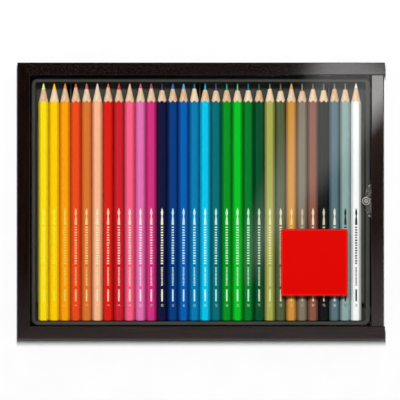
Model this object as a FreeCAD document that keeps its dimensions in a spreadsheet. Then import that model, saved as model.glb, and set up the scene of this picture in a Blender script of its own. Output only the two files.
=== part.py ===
import FreeCAD, Part
import math
import os

import Sketcher

# Pencil drawer box, in millimetres.
# A dark wooden case, open at its right-hand end, holds a tray of coloured pencils under a clear pane.
# The tray is screwed to the drawer front and slides out along +X. +Y is the back, where the pencils point.
# The origin is the middle of the case's underside, on the table.

Vector = FreeCAD.Vector
doc = FreeCAD.newDocument("PencilDrawerBox")
sheet = doc.addObject("Spreadsheet::Sheet", "Sizes")

# The driving sizes. Every other size and place is worked out from these.
SIZES = [
    ("pencil_length", 175.8, "pencil, from butt to point"),
    ("pencil_flats", 6.75, "pencil, across two opposite flats"),
    ("point_length", 15.9, "length of the sharpened cone"),
    ("point_radius", 0.2, "blunt end of the lead"),
    ("butt_ease", 0.5, "bevel round the lacquered butt"),
    ("core_radius", 1.5, "coloured lead"),
    ("glue_line", 0.03, "glue between lead and casing"),
    ("butt_cap", 1.2, "closed wood and lacquer behind the lead"),
    ("pencil_gap", 0.172, "air between the corners of two neighbours"),
    ("butt_gap", 0.5, "air between a butt and the tray's wall"),
    ("tip_gap", 0.5, "air between a point and the tray's wall"),
    ("left_ledge", 1.88, "bed's flat edge beside the first pencil"),
    ("right_ledge", 2.99, "bed's flat edge beside the last pencil"),
    ("ledge_clearance", 0.1, "air between a pencil's corner and the ledge"),
    ("butt_well", 13.9, "open well between the bed and the tray's front wall"),
    ("tip_well", 29.1, "open well between the bed and the tray's back wall"),
    ("bed_clearance", 0.7, "air between the bed and the side walls"),
    ("ridge_height", 2.1, "ridges between the grooves, above the pencils' lowest face"),
    ("ledge_height", 3.6, "bed's edge ledges, above the pencils' lowest face"),
    ("groove_clearance", 0.12, "air beside a pencil in its groove"),
    ("bed_skin", 1.6, "bed's moulded wall, between the grooves and its hollow underside"),
    ("bed_rib", 1.4, "ribs under the bed"),
    ("well_depth", 5.0, "tray's floor below the pencils"),
    ("floor_thickness", 1.8, "tray's floor"),
    ("rim_width", 2.8, "tray's rim, seen from above"),
    ("fixing_rim_width", 3.2, "tray's rim at the drawer front"),
    ("lip_overhang", 1.3, "rim's lip outside the wall"),
    ("lip_thickness", 1.8, "rim's lip"),
    ("rim_above_pencils", 0.3, "rim over the pencils' highest face"),
    ("rim_corner", 4.8, "rim's corner radius"),
    ("rim_ease", 0.5, "bevel on the rim's edges"),
    ("slot_length", 14.0, "floor slots between the points"),
    ("slot_inset", 0.9, "floor slots, in from the tray's back wall"),
    ("slot_width", 2.1, "one slot of a pair"),
    ("slot_bar", 1.1, "bar between the two slots of a pair"),
    ("screw_height", 6.6, "drawer-front screws, above the tray's floor"),
    ("screw_shank", 1.5, "drawer-front screw, shank radius"),
    ("screw_head", 2.8, "drawer-front screw, head radius"),
    ("screw_head_height", 1.6, "drawer-front screw, head height"),
    ("screw_grip", 6.5, "drawer-front screw, length in the wood"),
    ("drive_width", 0.7, "driver slot in a screw head"),
    ("pad_radius", 3.6, "round pads behind the drawer front"),
    ("shank_clearance", 0.1, "hole round a screw's or pin's shank"),
    ("tray_gap_left", 1.1, "air between the tray's rim and the left rail"),
    ("tray_gap_back", 2.3, "air between the tray's rim and the back rail"),
    ("tray_gap_front", 0.6, "air between the tray's rim and the front rail"),
    ("tray_gap_fixing", 0.8, "air between the tray's rim and the drawer front"),
    ("tray_float", 0.3, "air between the tray and the base panel"),
    ("rail_width", 9.2, "case rails, seen from above"),
    ("rail_ease", 0.4, "bevel on the rails' top edges"),
    ("rail_overrun", 1.1, "long rails' ends past the drawer front"),
    ("groove_depth", 3.5, "grooves for pane and base panel"),
    ("groove_play", 0.1, "groove taller than the sheet in it"),
    ("panel_play", 0.4, "air at the ends of pane and base panel"),
    ("base_end_gap", 0.1, "air between the base panel and the drawer front"),
    ("base_recess", 2.0, "base panel above the table"),
    ("base_thickness", 3.0, "base panel"),
    ("pane_clearance", 2.25, "pane above the tray's rim"),
    ("pane_thickness", 2.0, "clear pane"),
    ("pane_recess", 3.6, "rails' top above the pane"),
    ("front_thickness", 8.9, "drawer front"),
    ("front_play", 0.3, "air round the drawer front"),
    ("pull_radius", 60.0, "finger groove, radius of the cutter"),
    ("pull_depth", 3.0, "finger groove, depth in the drawer front"),
    ("pull_height", 11.0, "finger groove, from edge to edge"),
    ("spline_length", 7.0, "mitre spline, across the joint"),
    ("spline_thickness", 1.6, "mitre spline"),
    ("spline_height", 12.0, "mitre spline"),
    ("spline_play", 0.05, "air round a mitre spline"),
    ("label_side", 49.3, "square label"),
    ("label_thickness", 0.15, "square label"),
    ("label_from_right", 16.9, "label, in from the pane's right-hand edge"),
    ("label_from_front", 22.4, "label, in from the front rail"),
    ("plate_offset", 0.3, "tie plate's middle, forward of the case's middle"),
    ("plate_thickness", 0.8, "tie plate"),
    ("plate_half_length", 12.2, "tie plate, from its middle to an end"),
    ("plate_shoulder", 6.5, "tie plate, where its arms begin"),
    ("plate_width", 4.6, "tie plate out of the drawer front, at the shoulder"),
    ("plate_tip_width", 1.9, "tie plate out of the drawer front, at an end"),
    ("plate_tongue", 2.0, "tie plate inside the drawer front"),
    ("plate_play", 0.1, "slot taller and deeper than the plate"),
    ("cup_radius", 3.1, "round cup on the tie plate"),
    ("cup_bore", 2.2, "inside of the cup"),
    ("cup_height", 0.7, "cup's lip above the plate"),
    ("boss_radius", 2.8, "tray's post under the cup"),
    ("tie_shank", 0.9, "tie screw, shank radius"),
    ("tie_head", 1.6, "tie screw, head radius"),
    ("tie_head_height", 0.6, "tie screw, head height"),
    ("tie_grip", 7.0, "tie screw, length in the post"),
    ("pin_from_end", 1.1, "tie pins, in from the plate's ends"),
    ("pin_reach", 1.2, "tie pins, out from the drawer front"),
    ("pin_head", 0.6, "tie pin, head radius"),
    ("pin_shank", 0.35, "tie pin, shank radius"),
    ("pin_head_height", 0.3, "tie pin, head height"),
    ("pin_grip", 1.5, "tie pin, length in the rim"),
    ("cut_overrun", 1.0, "how far a cut runs past the face it opens"),
]
PENCILS = 30
SLOT_PAIRS = 3
PENCILS_A_SLOT_PAIR = 12
PENCILS_BEFORE_SLOTS = 2.5
PENCILS_A_CELL = 3
HEX_SIDES = 6
# Thirty cones would mesh to too many facets, so a pencil's point and lead are cut with many flat sides
POINT_SIDES = 24
LEAD_SIDES = 12


def fill_sheet(rows):
    """One row a size: its name, its value and what it is."""
    for row, (alias, value, note) in enumerate(rows, start=1):
        sheet.set(f"A{row}", alias)
        sheet.set(f"B{row}", str(value))
        sheet.set(f"C{row}", note)
        sheet.setAlias(f"B{row}", alias)
    doc.recompute()


fill_sheet(SIZES)


def cell(alias):
    """How an expression reads one size."""
    return f"Sizes.{alias}"


def add(*terms):
    """A sum of expressions and size names."""
    return "(" + " + ".join(cell(term) if term.isidentifier() else term for term in terms) + ")"


def less(first, *others):
    """The first term less all the others."""
    return "(" + add(first) + "".join(f" - {add(other)}" for other in others) + ")"


def half(*terms):
    return f"({add(*terms)} / 2)"


def negative(*terms):
    return f"(-1 * {add(*terms)})"


def times(count, *terms):
    return f"({count} * {add(*terms)})"


# Pencils, side by side
CORNER_RADIUS = f"({cell('pencil_flats')} / sqrt(3))"
PITCH = add(times(2, CORNER_RADIUS), "pencil_gap")
LEFT_MARGIN = add("left_ledge", "ledge_clearance", CORNER_RADIUS)
RIGHT_MARGIN = add("right_ledge", "ledge_clearance", CORNER_RADIUS)

# Tray, along X and Y
INNER_LENGTH = add(LEFT_MARGIN, times(PENCILS - 1, PITCH), RIGHT_MARGIN)
INNER_WIDTH = add("butt_gap", "pencil_length", "tip_gap")
BED_LENGTH = less(INNER_WIDTH, "butt_well", "tip_well")
# The drawer front's screws sit midway in the butt well, and as far from the back wall
SCREW_INSET = half("butt_well")
TRAY_LENGTH = add("rim_width", INNER_LENGTH, "fixing_rim_width")
TRAY_WIDTH = add("rim_width", INNER_WIDTH, "rim_width")

# Case, along X and Y
CASE_LENGTH = add(
    "rail_width", "tray_gap_left", TRAY_LENGTH, "tray_gap_fixing", "front_thickness", "rail_overrun"
)
CASE_DEPTH = add("rail_width", "tray_gap_front", TRAY_WIDTH, "tray_gap_back", "rail_width")
CASE_LEFT = negative(half(CASE_LENGTH))
CASE_RIGHT = half(CASE_LENGTH)
CASE_FRONT = negative(half(CASE_DEPTH))
CASE_BACK = half(CASE_DEPTH)
FRONT_FACE = less(CASE_RIGHT, "rail_overrun")
FRONT_BACK = less(FRONT_FACE, "front_thickness")

# Places of the tray's faces
RIM_LEFT = add(CASE_LEFT, "rail_width", "tray_gap_left")
RIM_RIGHT = less(FRONT_BACK, "tray_gap_fixing")
RIM_FRONT = add(CASE_FRONT, "rail_width", "tray_gap_front")
RIM_BACK = less(CASE_BACK, "rail_width", "tray_gap_back")
INNER_LEFT = add(RIM_LEFT, "rim_width")
INNER_RIGHT = less(RIM_RIGHT, "fixing_rim_width")
INNER_FRONT = add(RIM_FRONT, "rim_width")
INNER_BACK = less(RIM_BACK, "rim_width")
TRAY_MIDDLE = half(RIM_FRONT, RIM_BACK)
TIE_MIDDLE = negative("plate_offset")

# Heights, from the table up
BASE_TOP = add("base_recess", "base_thickness")
TRAY_BOTTOM = add(BASE_TOP, "tray_float")
FLOOR_TOP = add(TRAY_BOTTOM, "floor_thickness")
PENCIL_BOTTOM = add(FLOOR_TOP, "well_depth")
PENCIL_AXIS = add(PENCIL_BOTTOM, half("pencil_flats"))
RIDGE_TOP = add(PENCIL_BOTTOM, "ridge_height")
LEDGE_TOP = add(PENCIL_BOTTOM, "ledge_height")
RIM_TOP = add(PENCIL_BOTTOM, "pencil_flats", "rim_above_pencils")
LIP_BOTTOM = less(RIM_TOP, "lip_thickness")
PANE_BOTTOM = add(RIM_TOP, "pane_clearance")
PANE_TOP = add(PANE_BOTTOM, "pane_thickness")
CASE_HEIGHT = add(PANE_TOP, "pane_recess")
SCREW_AXIS = add(FLOOR_TOP, "screw_height")
PLATE_TOP = add(RIM_TOP, "plate_thickness")


def bind(thing, **sizes):
    """Sets each named property of a feature by an expression on the sheet."""
    for name, expression in sizes.items():
        thing.setExpression(name, expression)


def place(thing, across="0", along="0", up="0", rotation=None):
    """Puts a piece at a point given by expressions, turned if asked."""
    if rotation:
        thing.Placement = FreeCAD.Placement(Vector(), rotation)
    thing.setExpression("Placement.Base.x", across)
    thing.setExpression("Placement.Base.y", along)
    thing.setExpression("Placement.Base.z", up)


def new_body(label):
    body = doc.addObject("PartDesign::Body", label)
    body.Label = label
    return body


def plane_of(body, role):
    return next(plane for plane in body.Origin.OriginFeatures if plane.Role == role)


def sketch_on(body, name, role, offset="0"):
    """A sketch on one of the body's own planes, moved along that plane's normal."""
    sketch = body.newObject("Sketcher::SketchObject", name)
    sketch.AttachmentSupport = [(plane_of(body, role), "")]
    sketch.MapMode = "FlatFace"
    sketch.setExpression("AttachmentOffset.Base.z", offset)
    return sketch


def pin_point(sketch, geometry, end, across, up):
    """Holds one point of a sketch at two distances from its origin."""
    for kind, size in (("DistanceX", across), ("DistanceY", up)):
        index = sketch.addConstraint(Sketcher.Constraint(kind, -1, 1, geometry, end, 1.0))
        sketch.setExpression(f"Constraints[{index}]", size)


def draw_outline(sketch, corners):
    """A closed outline of straight lines, a regular shape of radius 1 whose corners the sizes pull out."""
    first = sketch.GeometryCount
    count = len(corners)
    start = [Vector(math.cos(math.tau * i / count), math.sin(math.tau * i / count), 0) for i in range(count)]
    for i in range(count):
        sketch.addGeometry(Part.LineSegment(start[i], start[(i + 1) % count]), False)
    for i in range(count):
        sketch.addConstraint(Sketcher.Constraint("Coincident", first + i, 2, first + (i + 1) % count, 1))
    for i, (across, up) in enumerate(corners):
        pin_point(sketch, first + i, 1, across, up)


def draw_rectangle(sketch, left, right, low, high):
    draw_outline(sketch, [(left, low), (right, low), (right, high), (left, high)])


def draw_circle(sketch, across, up, radius):
    index = sketch.addGeometry(Part.Circle(Vector(), Vector(0, 0, 1), 1), False)
    pin_point(sketch, index, 3, across, up)
    size = sketch.addConstraint(Sketcher.Constraint("Radius", index, 1.0))
    sketch.setExpression(f"Constraints[{size}]", radius)


def pad(body, name, sketch, length, both_sides=False):
    """Adds material on the sketch's own side, or half on each side."""
    feature = body.newObject("PartDesign::Pad", name)
    feature.Profile = sketch
    feature.SideType = "Symmetric" if both_sides else "One side"
    feature.setExpression("Length", length)
    doc.recompute()
    return feature


def pocket(body, name, sketch, length, up=True, both_sides=False):
    """Cuts from the sketch along its normal, against it or half each way, and checks that it did cut."""
    before = body.Shape.Volume
    feature = body.newObject("PartDesign::Pocket", name)
    feature.Profile = sketch
    feature.Reversed = up
    feature.SideType = "Symmetric" if both_sides else "One side"
    feature.setExpression("Length", length)
    doc.recompute()
    if not feature.Shape.Volume < before:
        raise RuntimeError(f"{feature.Label} cuts nothing")
    return feature


def repeat_along_x(body, name, feature, length, count):
    """Repeats a body's last feature over a length. The pattern counts only once it is the body's tip."""
    before = body.Shape.Volume
    pattern = body.newObject("PartDesign::LinearPattern", name)
    pattern.Originals = [feature]
    pattern.Direction = (plane_of(body, "X_Axis"), [""])
    pattern.setExpression("Length", length)
    pattern.Occurrences = count
    body.Tip = pattern
    doc.recompute()
    if not pattern.Shape.Volume < before:
        raise RuntimeError(f"{pattern.Label} cuts nothing")


def edges_where(feature, fits):
    """Names of a feature's edges that a test picks."""
    return [f"Edge{i}" for i, edge in enumerate(feature.Shape.Edges, start=1) if fits(edge)]


def dress(body, kind, name, feature, edges, size, property_name):
    """A fillet or chamfer on the picked edges of the last feature."""
    dressing = body.newObject(kind, name)
    dressing.Base = (feature, edges)
    dressing.setExpression(property_name, size)
    doc.recompute()
    return dressing


def fillet(body, name, feature, edges, radius):
    return dress(body, "PartDesign::Fillet", name, feature, edges, radius, "Radius")


def chamfer(body, name, feature, edges, size):
    return dress(body, "PartDesign::Chamfer", name, feature, edges, size, "Size")


def is_upright(edge):
    """True for a straight edge that runs along Z."""
    box = edge.BoundBox
    half_length = edge.Length / 2
    return max(box.XLength, box.YLength) < half_length and abs(box.ZLength - edge.Length) < half_length


def lies_at(edge, height):
    """True for an edge that lies flat at a height."""
    return abs(edge.BoundBox.ZMin - height) < SAME and abs(edge.BoundBox.ZMax - height) < SAME


# How close two places count as the same
SAME = 0.001 * sheet.pencil_flats


def value_of(expression):
    """What an expression on the sheet comes to, for picking edges."""
    return float(sheet.evalExpression(expression))


def make_rail(label, length, mitre_start, mitre_end):
    """A moulded wooden rail with a groove for the base panel and one for the pane, drawn along its own +X,
    its outer face at y = 0. A mitred end is cut at 45 degrees and slotted for a spline."""
    body = new_body(label)
    wide = cell("rail_width")
    groove = less("rail_width", "groove_depth")
    low = cell("base_recess")
    low_top = add(BASE_TOP, "groove_play")
    high = PANE_BOTTOM
    high_top = add(PANE_TOP, "groove_play")
    section = sketch_on(body, label + "_section", "YZ_Plane")
    draw_outline(
        section,
        [
            ("0", "0"), (wide, "0"), (wide, low), (groove, low), (groove, low_top), (wide, low_top),
            (wide, high), (groove, high), (groove, high_top), (wide, high_top),
            (wide, less(CASE_HEIGHT, "rail_ease")), (less("rail_width", "rail_ease"), CASE_HEIGHT),
            (cell("rail_ease"), CASE_HEIGHT), ("0", less(CASE_HEIGHT, "rail_ease")),
        ],
    )
    pad(body, label + "_moulding", section, length)
    past = add("rail_width", "cut_overrun")
    spline = half("spline_length", "spline_play", "spline_play")
    thick = half("spline_thickness", "spline_play", "spline_play")
    middle = half("rail_width")
    spline_low = less(half(BASE_TOP, PANE_BOTTOM), half("spline_height"), "spline_play")
    for at_start, wanted in ((True, mitre_start), (False, mitre_end)):
        if not wanted:
            continue
        side = "start" if at_start else "end"

        def along(distance):
            return distance if at_start else less(length, distance)

        waste = sketch_on(body, f"{label}_{side}_waste", "XY_Plane", negative("cut_overrun"))
        draw_outline(
            waste,
            [(along("0"), "0"), (along(past), past), (along(negative("cut_overrun")), past),
             (along(negative("cut_overrun")), "0")],
        )
        pocket(body, f"{label}_{side}_mitre", waste, add(CASE_HEIGHT, times(2, "cut_overrun")))
        slot = sketch_on(body, f"{label}_{side}_slot_outline", "XY_Plane", spline_low)
        reach = f"({spline} / sqrt(2))"
        cheek = f"({thick} / sqrt(2))"
        draw_outline(
            slot,
            [
                (along(add(middle, reach, cheek)), less(add(middle, cheek), reach)),
                (along(less(add(middle, reach), cheek)), less(middle, reach, cheek)),
                (along(less(middle, reach, cheek)), less(add(middle, reach), cheek)),
                (along(less(add(middle, cheek), reach)), add(middle, reach, cheek)),
            ],
        )
        pocket(body, f"{label}_{side}_slot", slot, add("spline_height", times(2, "spline_play")))
    return body


def make_case():
    """Three rails round the tray, the two long ones left square and open at the right."""
    front = make_rail("front_rail", CASE_LENGTH, True, False)
    place(front, CASE_LEFT, CASE_FRONT)
    back = make_rail("back_rail", CASE_LENGTH, False, True)
    place(back, CASE_RIGHT, CASE_BACK, rotation=FreeCAD.Rotation(Vector(0, 0, 1), 180))
    left = make_rail("left_rail", CASE_DEPTH, True, True)
    place(left, CASE_LEFT, CASE_BACK, rotation=FreeCAD.Rotation(Vector(0, 0, 1), -90))
    return [front, back, left]


def make_sheet(label, height, thickness, end_gap):
    """A flat sheet that sits in the rails' grooves on three sides and stops short of the drawer front."""
    panel = doc.addObject("Part::Box", label)
    panel.Label = label
    left = less(add(CASE_LEFT, "rail_width", "panel_play"), "groove_depth")
    front = less(add(CASE_FRONT, "rail_width", "panel_play"), "groove_depth")
    length = less(FRONT_BACK, end_gap, left)
    bind(panel, Length=length, Width=times(2, negative(front)), Height=cell(thickness))
    place(panel, left, front, height)
    return panel


def make_label():
    """A square self-adhesive label on the pane, near its front right-hand corner."""
    label = doc.addObject("Part::Box", "square_label")
    label.Label = "square_label"
    bind(label, Length=cell("label_side"), Width=cell("label_side"), Height=cell("label_thickness"))
    right = less(FRONT_BACK, "panel_play", "label_from_right")
    place(label, less(right, "label_side"), add(CASE_FRONT, "rail_width", "label_from_front"), PANE_TOP)
    return label


def make_splines():
    """Two thin keys glued across the mitres, hidden in slots in the rails."""
    keys = []
    low = less(half(BASE_TOP, PANE_BOTTOM), half("spline_height"))
    middle = half("rail_width")
    long_half = f"({half('spline_length')} / sqrt(2))"
    thick_half = f"({half('spline_thickness')} / sqrt(2))"
    for side, turn in (("front", -1), ("back", 1)):
        key = doc.addObject("Part::Box", f"{side}_key")
        bind(key, Length=cell("spline_length"), Width=cell("spline_thickness"), Height=cell("spline_height"))
        corner = add(CASE_FRONT, middle) if side == "front" else less(CASE_BACK, middle)
        # The key's own corner stands half its length back along its own length, and half its thickness aside
        across = add(less(CASE_LEFT, long_half), middle, f"({turn} * {thick_half})")
        along = less(corner, f"({turn} * {long_half})", thick_half)
        place(key, across, along, low, FreeCAD.Rotation(Vector(0, 0, 1), turn * 45))
        keys.append(key)
    splines = doc.addObject("Part::Compound", "mitre_splines")
    splines.Label = "mitre_splines"
    splines.Links = keys
    return splines


def make_drawer_front():
    """The board that closes the case: eased top edges, a finger groove outside, and inside the screw holes
    and the slot for the tie plate."""
    body = new_body("drawer_front")
    top = less(CASE_HEIGHT, "front_play")
    low = cell("front_play")
    section = sketch_on(body, "front_section", "XZ_Plane")
    draw_outline(
        section,
        [
            (FRONT_BACK, low), (FRONT_FACE, low), (FRONT_FACE, less(top, "rail_ease")),
            (less(FRONT_FACE, "rail_ease"), top), (add(FRONT_BACK, "rail_ease"), top),
            (FRONT_BACK, less(top, "rail_ease")),
        ],
    )
    length = less(CASE_DEPTH, times(2, "rail_width"), times(2, "front_play"))
    pad(body, "front_board", section, length, both_sides=True)
    holes = sketch_on(body, "front_pilot_outline", "YZ_Plane", FRONT_BACK)
    for along in (add(INNER_FRONT, SCREW_INSET), less(INNER_BACK, SCREW_INSET)):
        draw_circle(holes, along, SCREW_AXIS, add("screw_shank", "shank_clearance"))
    pocket(body, "front_pilots", holes, add("screw_grip", "shank_clearance"))
    slot = sketch_on(body, "plate_slot_outline", "YZ_Plane", FRONT_BACK)
    reach = add("plate_half_length", "plate_play")
    draw_rectangle(
        slot, less(TIE_MIDDLE, reach), add(TIE_MIDDLE, reach),
        less(RIM_TOP, "plate_play"), add(PLATE_TOP, "plate_play"),
    )
    pocket(body, "plate_slot", slot, add("plate_tongue", "plate_play"))
    pull = sketch_on(body, "pull_outline", "XY_Plane", less(half(CASE_HEIGHT), half("pull_height")))
    draw_circle(pull, less(add(FRONT_FACE, "pull_radius"), "pull_depth"), "0", cell("pull_radius"))
    pocket(body, "finger_groove", pull, cell("pull_height"))
    return body


def make_tray():
    """One moulding: floor, walls and an outward lip, with floor slots between the pencils' points, round
    pads and screw holes in the wall behind the drawer front, and a post for the tie screw."""
    body = new_body("tray")
    wall_left = add(RIM_LEFT, "lip_overhang")
    wall_right = less(RIM_RIGHT, "lip_overhang")
    wall_front = add(RIM_FRONT, "lip_overhang")
    wall_back = less(RIM_BACK, "lip_overhang")
    outside = sketch_on(body, "tray_wall_outline", "XY_Plane", TRAY_BOTTOM)
    draw_rectangle(outside, wall_left, wall_right, wall_front, wall_back)
    walls = pad(body, "tray_walls", outside, less(RIM_TOP, TRAY_BOTTOM))
    wall_corner = less("rim_corner", "lip_overhang")
    walls = fillet(body, "tray_wall_corners", walls, edges_where(walls, is_upright), wall_corner)
    lip_outline = sketch_on(body, "lip_outline", "XY_Plane", LIP_BOTTOM)
    draw_rectangle(lip_outline, RIM_LEFT, RIM_RIGHT, RIM_FRONT, RIM_BACK)
    lip = pad(body, "tray_lip", lip_outline, cell("lip_thickness"))
    corner_places = [(value_of(x), value_of(y)) for x in (RIM_LEFT, RIM_RIGHT) for y in (RIM_FRONT, RIM_BACK)]

    def is_corner(edge, places):
        middle = edge.BoundBox.Center
        return is_upright(edge) and any(math.hypot(middle.x - x, middle.y - y) < SAME for x, y in places)

    lip_corners = edges_where(lip, lambda e: is_corner(e, corner_places))
    fillet(body, "lip_corners", lip, lip_corners, cell("rim_corner"))
    inside = sketch_on(body, "tray_inside_outline", "XY_Plane", FLOOR_TOP)
    draw_rectangle(inside, INNER_LEFT, INNER_RIGHT, INNER_FRONT, INNER_BACK)
    hollow = pocket(body, "tray_hollow", inside, add(less(RIM_TOP, FLOOR_TOP), "cut_overrun"))
    inner_sides = ((x, y) for x in (INNER_LEFT, INNER_RIGHT) for y in (INNER_FRONT, INNER_BACK))
    inner_places = [(value_of(x), value_of(y)) for x, y in inner_sides]
    inner_corners = edges_where(hollow, lambda e: is_corner(e, inner_places))
    hollow = fillet(body, "hollow_corners", hollow, inner_corners, less("rim_corner", "rim_width"))
    rim_edges = edges_where(hollow, lambda e: lies_at(e, value_of(RIM_TOP)))
    chamfer(body, "rim_bevel", hollow, rim_edges, cell("rim_ease"))
    pads = sketch_on(body, "fixing_pad_outline", "YZ_Plane", wall_right)
    screw_places = (add(INNER_FRONT, SCREW_INSET), less(INNER_BACK, SCREW_INSET))
    for along in screw_places:
        draw_circle(pads, along, SCREW_AXIS, cell("pad_radius"))
    pad(body, "fixing_pads", pads, less(FRONT_BACK, wall_right))
    holes = sketch_on(body, "fixing_hole_outline", "YZ_Plane", FRONT_BACK)
    for along in screw_places:
        draw_circle(holes, along, SCREW_AXIS, add("screw_shank", "shank_clearance"))
    pocket(body, "fixing_holes", holes, add(less(FRONT_BACK, INNER_RIGHT), "cut_overrun"), up=False)
    recesses = sketch_on(body, "head_recess_outline", "YZ_Plane", less(INNER_RIGHT, "cut_overrun"))
    for along in screw_places:
        draw_circle(recesses, along, SCREW_AXIS, add("screw_head", "shank_clearance"))
    pocket(body, "head_recesses", recesses, add("cut_overrun", "screw_head_height"))
    post = sketch_on(body, "tie_post_outline", "XY_Plane", TRAY_BOTTOM)
    draw_circle(post, less(RIM_RIGHT, "boss_radius"), TIE_MIDDLE, cell("boss_radius"))
    pad(body, "tie_post", post, less(RIM_TOP, TRAY_BOTTOM))
    bore = sketch_on(body, "tie_hole_outline", "XY_Plane", RIM_TOP)
    draw_circle(bore, less(RIM_RIGHT, "boss_radius"), TIE_MIDDLE, add("tie_shank", "shank_clearance"))
    pocket(body, "tie_hole", bore, add("tie_grip", "shank_clearance"), up=False)
    pins = sketch_on(body, "tie_pin_hole_outline", "XY_Plane", RIM_TOP)
    for side in (-1, 1):
        along = add(TIE_MIDDLE, f"({side} * {less('plate_half_length', 'pin_from_end')})")
        draw_circle(pins, less(FRONT_BACK, "pin_reach"), along, add("pin_shank", "shank_clearance"))
    pocket(body, "tie_pin_holes", pins, add("pin_grip", "shank_clearance"), up=False)
    slots = sketch_on(body, "floor_slot_outline", "XY_Plane", TRAY_BOTTOM)
    first = add(INNER_LEFT, LEFT_MARGIN, times(PENCILS_BEFORE_SLOTS, PITCH))
    slot_back = less(INNER_BACK, "slot_inset")
    for side in (-1, 1):
        near = add(first, f"({side} * {half('slot_bar')})")
        far = add(first, f"({side} * {add(half('slot_bar'), 'slot_width')})")
        draw_rectangle(slots, near, far, less(slot_back, "slot_length"), slot_back)
    pair = pocket(body, "floor_slots", slots, cell("floor_thickness"))
    reach = times((SLOT_PAIRS - 1) * PENCILS_A_SLOT_PAIR, PITCH)
    repeat_along_x(body, "floor_slot_pairs", pair, reach, SLOT_PAIRS)
    return body


def make_bed():
    """The ribbed bed that the pencils lie in: a block with a ledge along each side and a six-sided groove for
    each pencil, flat at the bottom and open at both ends."""
    body = new_body("pencil_bed")
    left = add(INNER_LEFT, "bed_clearance")
    right = less(INNER_RIGHT, "bed_clearance")
    near = add(INNER_FRONT, "butt_well")
    block_outline = sketch_on(body, "bed_outline", "XY_Plane", FLOOR_TOP)
    draw_rectangle(block_outline, left, right, near, add(near, BED_LENGTH))
    pad(body, "bed_block", block_outline, less(LEDGE_TOP, FLOOR_TOP))
    post_room = sketch_on(body, "post_room_outline", "XY_Plane", FLOOR_TOP)
    draw_circle(post_room, less(RIM_RIGHT, "boss_radius"), TIE_MIDDLE, add("boss_radius", "bed_clearance"))
    pocket(body, "post_room", post_room, less(LEDGE_TOP, FLOOR_TOP))
    first = add(INNER_LEFT, LEFT_MARGIN)
    last = add(first, times(PENCILS - 1, PITCH))
    room = add(CORNER_RADIUS, "ledge_clearance")
    trough = sketch_on(body, "trough_outline", "XY_Plane", RIDGE_TOP)
    past = add(near, BED_LENGTH, "cut_overrun")
    draw_rectangle(trough, less(first, room), add(last, room), less(near, "cut_overrun"), past)
    pocket(body, "trough", trough, add(less(LEDGE_TOP, RIDGE_TOP), "cut_overrun"))
    # The groove follows the pencil's lowest flat and the two flats beside it, which lean out by 30 degrees
    flat_half = add(f"({cell('pencil_flats')} / (2 * sqrt(3)))", "groove_clearance")
    lean = f"({cell('ridge_height')} / sqrt(3))"
    groove_outline = sketch_on(body, "groove_outline", "XZ_Plane", negative(past))
    draw_outline(
        groove_outline,
        [
            (less(first, flat_half), PENCIL_BOTTOM), (add(first, flat_half), PENCIL_BOTTOM),
            (add(first, flat_half, lean), RIDGE_TOP), (less(first, flat_half, lean), RIDGE_TOP),
        ],
    )
    groove = pocket(body, "groove", groove_outline, add(BED_LENGTH, times(2, "cut_overrun")))
    repeat_along_x(body, "grooves", groove, times(PENCILS - 1, PITCH), PENCILS)
    # Hollow cells under the bed, three pencils wide, in a front row and a back row
    cells = sketch_on(body, "cell_outline", "XY_Plane", FLOOR_TOP)
    cell_width = times(PENCILS_A_CELL, PITCH)
    cell_left = less(first, half(PITCH))
    middle = add(near, half(BED_LENGTH))
    rows = (
        (add(near, "bed_rib"), less(middle, half("bed_rib"))),
        (add(middle, half("bed_rib")), less(add(near, BED_LENGTH), "bed_rib")),
    )
    cell_right = less(add(cell_left, cell_width), half("bed_rib"))
    for low, high in rows:
        draw_rectangle(cells, add(cell_left, half("bed_rib")), cell_right, low, high)
    hollow = pocket(body, "cell", cells, less("well_depth", "bed_skin"))
    count = PENCILS // PENCILS_A_CELL
    repeat_along_x(body, "cells", hollow, times(count - 1, cell_width), count)
    return body


def make_tie_plate():
    """A nickel plate that ties the tray's rim to the drawer front: its straight side sits in the front's
    slot, its two arms taper, and a round cup in the middle holds the screw."""
    body = new_body("tie_plate")
    tongue = add(FRONT_BACK, "plate_tongue")
    shoulder = less(FRONT_BACK, "plate_width")
    tip = less(FRONT_BACK, "plate_tip_width")

    def along(side, alias):
        return add(TIE_MIDDLE, f"({side} * {cell(alias)})")

    outline = sketch_on(body, "plate_outline", "XY_Plane", RIM_TOP)
    draw_outline(
        outline,
        [
            (tongue, along(-1, "plate_half_length")), (tongue, along(1, "plate_half_length")),
            (tip, along(1, "plate_half_length")), (shoulder, along(1, "plate_shoulder")),
            (shoulder, along(-1, "plate_shoulder")), (tip, along(-1, "plate_half_length")),
        ],
    )
    plate = pad(body, "plate_blank", outline, cell("plate_thickness"))
    tip_at = value_of(tip)
    corners = edges_where(plate, lambda e: is_upright(e) and abs(e.BoundBox.Center.x - tip_at) < SAME)
    fillet(body, "plate_tips", plate, corners, f"({cell('plate_tip_width')} / 3)")
    centre = less(RIM_RIGHT, "boss_radius")
    disc = sketch_on(body, "cup_outline", "XY_Plane", RIM_TOP)
    draw_circle(disc, centre, TIE_MIDDLE, cell("cup_radius"))
    pad(body, "cup_disc", disc, add("plate_thickness", "cup_height"))
    dish = sketch_on(body, "dish_outline", "XY_Plane", PLATE_TOP)
    draw_circle(dish, centre, TIE_MIDDLE, cell("cup_bore"))
    pocket(body, "cup_dish", dish, add("cup_height", "cut_overrun"))
    hole = sketch_on(body, "plate_hole_outline", "XY_Plane", RIM_TOP)
    draw_circle(hole, centre, TIE_MIDDLE, add("tie_shank", "shank_clearance"))
    for side in (-1, 1):
        pin_along = add(TIE_MIDDLE, f"({side} * {less('plate_half_length', 'pin_from_end')})")
        draw_circle(hole, less(FRONT_BACK, "pin_reach"), pin_along, add("pin_shank", "shank_clearance"))
    pocket(body, "plate_holes", hole, add("plate_thickness", "cup_height", "cut_overrun"))
    return body


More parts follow.
